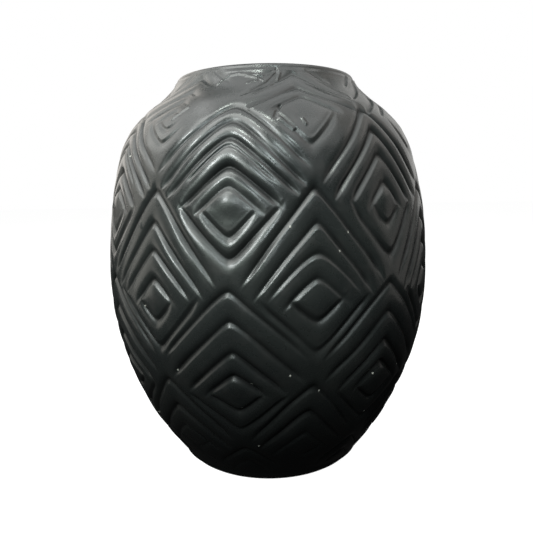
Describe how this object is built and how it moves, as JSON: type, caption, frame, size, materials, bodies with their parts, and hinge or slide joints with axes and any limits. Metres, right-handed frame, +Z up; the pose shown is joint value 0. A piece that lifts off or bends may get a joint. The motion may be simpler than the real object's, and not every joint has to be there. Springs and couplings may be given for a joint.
{
  "type": "black clay pot",
  "caption": "Egg-shaped jar of black burnished clay with a flat foot, a short wide neck and staggered rows of raised nested diamonds around it.",
  "frame": {"origin": "centre of the underside of the flat foot", "axes": "+Z up along the pot's axis, towards the mouth; -Y is the front, as seen in the picture"},
  "size_m": [0.2001, 0.2002, 0.237],
  "materials": {
    "burnished_clay": "black low-fired clay, hand burnished to a satin sheen",
    "relief_clay": "the same black clay in raised rounded ridges, burnished brighter along their crests"
  },
  "bodies": {
    "root": {"floor_disc": "burnished_clay", "heel_course": "burnished_clay", "lower_belly_course": "burnished_clay", "belly_course": "burnished_clay", "upper_belly_course": "burnished_clay", "shoulder_course": "burnished_clay", "neck_collar": "burnished_clay", "lip_coil": "burnished_clay", "foot_chevrons": "relief_clay", "heel_diamonds": "relief_clay", "lower_diamonds": "relief_clay", "belly_diamonds": "relief_clay", "shoulder_diamonds": "relief_clay", "collar_diamonds": "relief_clay", "neck_chevrons": "relief_clay"}
  },
  "joints": []
}
